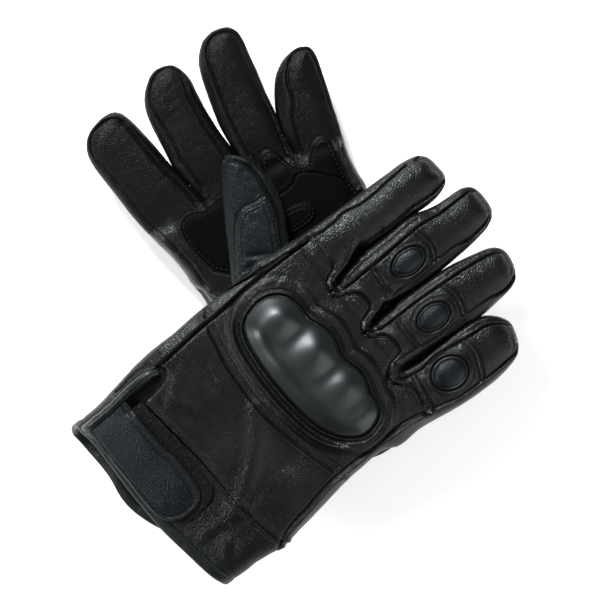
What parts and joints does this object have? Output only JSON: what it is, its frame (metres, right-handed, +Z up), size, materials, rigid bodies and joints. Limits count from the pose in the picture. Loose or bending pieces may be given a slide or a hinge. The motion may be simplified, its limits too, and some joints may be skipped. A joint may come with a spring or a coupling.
{
  "type": "riding gloves",
  "caption": "black leather motorcycle gloves with hard knuckle guards, oval finger pads and wrist straps, laid crossed, right back up over left palm up",
  "frame": {"origin": "on the surface the pair lies on, below the middle of the pair's bounding box", "axes": "+X along the upper (right) glove's hand towards its fingers, +Y towards its thumb side, +Z up"},
  "size_m": [0.2474, 0.2455, 0.0789],
  "materials": {
    "leather": "semi-gloss black leather, fine grain",
    "patch_leather": "black leather patch, double stitched",
    "binding_leather": "thin folded black leather edge",
    "guard_plastic": "satin moulded black shell",
    "foam": "leather covered foam bed",
    "lining_fabric": "black knitted lining",
    "loop_pile": "fuzzy loop pile",
    "hook_tape": "hook tape"
  },
  "bodies": {
    "left_hand": {"left_hand_back_panel": "leather", "left_wrist_back_panel": "leather", "left_palm_panel": "leather", "left_palm_patch": "patch_leather", "left_side_gussets": "leather", "left_lining": "lining_fabric", "left_knuckle_guard": "guard_plastic", "left_guard_foam": "foam", "left_cuff_back": "leather", "left_cuff_palm": "leather", "left_cuff_binding": "binding_leather", "left_loop_patch": "loop_pile", "left_thumb_gusset": "leather", "left_index_base_sleeve": "leather", "left_middle_base_sleeve": "leather", "left_ring_base_sleeve": "leather", "left_little_base_sleeve": "leather", "left_middle_knuckle_pad": "patch_leather", "left_ring_knuckle_pad": "patch_leather", "left_little_knuckle_pad": "patch_leather"},
    "right_hand": {"right_hand_back_panel": "leather", "right_wrist_back_panel": "leather", "right_palm_panel": "leather", "right_palm_patch": "patch_leather", "right_side_gussets": "leather", "right_lining": "lining_fabric", "right_knuckle_guard": "guard_plastic", "right_guard_foam": "foam", "right_cuff_back": "leather", "right_cuff_palm": "leather", "right_cuff_binding": "binding_leather", "right_loop_patch": "loop_pile", "right_thumb_gusset": "leather", "right_index_base_sleeve": "leather", "right_middle_base_sleeve": "leather", "right_ring_base_sleeve": "leather", "right_little_base_sleeve": "leather", "right_middle_knuckle_pad": "patch_leather", "right_ring_knuckle_pad": "patch_leather", "right_little_knuckle_pad": "patch_leather"},
    "right_thumb": {"right_thumb_sleeve": "leather", "right_thumb_patch": "patch_leather"},
    "right_strap": {"right_strap": "leather", "right_hook_patch": "hook_tape"},
    "right_index_tip": {"right_index_tip_sleeve": "leather"},
    "right_middle_tip": {"right_middle_tip_sleeve": "leather"},
    "right_ring_tip": {"right_ring_tip_sleeve": "leather"},
    "right_little_tip": {"right_little_tip_sleeve": "leather"},
    "left_thumb": {"left_thumb_sleeve": "leather", "left_thumb_patch": "patch_leather"},
    "left_strap": {"left_strap": "leather", "left_hook_patch": "hook_tape"},
    "left_index_tip": {"left_index_tip_sleeve": "leather"},
    "left_middle_tip": {"left_middle_tip_sleeve": "leather"},
    "left_ring_tip": {"left_ring_tip_sleeve": "leather"},
    "left_little_tip": {"left_little_tip_sleeve": "leather"}
  },
  "joints": [
    {"name": "right_glove_lift", "type": "slide", "parent": "left_hand", "child": "right_hand", "axis": [0, 0, 1], "range_m": [0, 0.12]},
    {"name": "right_thumb_swing", "type": "hinge", "parent": "right_hand", "child": "right_thumb", "pos_m": [-0.0538, -0.0184, 0.04605], "axis": [0, 0, -1], "range_deg": [0, 14]},
    {"name": "right_strap_peel", "type": "hinge", "parent": "right_hand", "child": "right_strap", "pos_m": [-0.10772, -0.0074, 0.06307], "axis": [-0.9397, 0, -0.342], "range_deg": [0, 120]},
    {"name": "right_index_bend", "type": "hinge", "parent": "right_hand", "child": "right_index_tip", "pos_m": [0.0846, -0.01983, 0.05198], "axis": [0.0523, 0.9986, 0], "range_deg": [0, 55], "stiffness_Nm_per_rad": 0.03},
    {"name": "right_middle_bend", "type": "hinge", "parent": "right_hand", "child": "right_middle_tip", "pos_m": [0.08661, -0.04788, 0.05187], "axis": [0.0436, 0.999, 0], "range_deg": [0, 55], "stiffness_Nm_per_rad": 0.03},
    {"name": "right_ring_bend", "type": "hinge", "parent": "right_hand", "child": "right_ring_tip", "pos_m": [0.07857, -0.07668, 0.05229], "axis": [0.0698, 0.9976, 0], "range_deg": [0, 55], "stiffness_Nm_per_rad": 0.03},
    {"name": "right_little_bend", "type": "hinge", "parent": "right_hand", "child": "right_little_tip", "pos_m": [0.06523, -0.10782, 0.05266], "axis": [0.1564, 0.9877, 0], "range_deg": [0, 55], "stiffness_Nm_per_rad": 0.03},
    {"name": "left_thumb_swing", "type": "hinge", "parent": "left_hand", "child": "left_thumb", "pos_m": [-0.01114, -0.03226, 0.03285], "axis": [0, 0, 1], "range_deg": [0, 30]},
    {"name": "left_strap_peel", "type": "hinge", "parent": "left_hand", "child": "left_strap", "pos_m": [-0.0392, -0.08197, 0.00238], "axis": [0.1707, 0.9683, 0.1822], "range_deg": [0, 120]},
    {"name": "left_index_bend", "type": "hinge", "parent": "left_hand", "child": "left_index_tip", "pos_m": [-0.00428, 0.09355, 0.02666], "axis": [0.999, -0.0436, 0], "range_deg": [0, 55], "stiffness_Nm_per_rad": 0.03},
    {"name": "left_middle_bend", "type": "hinge", "parent": "left_hand", "child": "left_middle_tip", "pos_m": [0.03068, 0.0896, 0.02676], "axis": [0.9816, -0.1908, 0], "range_deg": [0, 55], "stiffness_Nm_per_rad": 0.03},
    {"name": "left_ring_bend", "type": "hinge", "parent": "left_hand", "child": "left_ring_tip", "pos_m": [0.0595, 0.08115, 0.02659], "axis": [0.9724, -0.2334, 0], "range_deg": [0, 55], "stiffness_Nm_per_rad": 0.03},
    {"name": "left_little_bend", "type": "hinge", "parent": "left_hand", "child": "left_little_tip", "pos_m": [0.08807, 0.0595, 0.02607], "axis": [0.9367, -0.3502, 0], "range_deg": [0, 55], "stiffness_Nm_per_rad": 0.03}
  ]
}
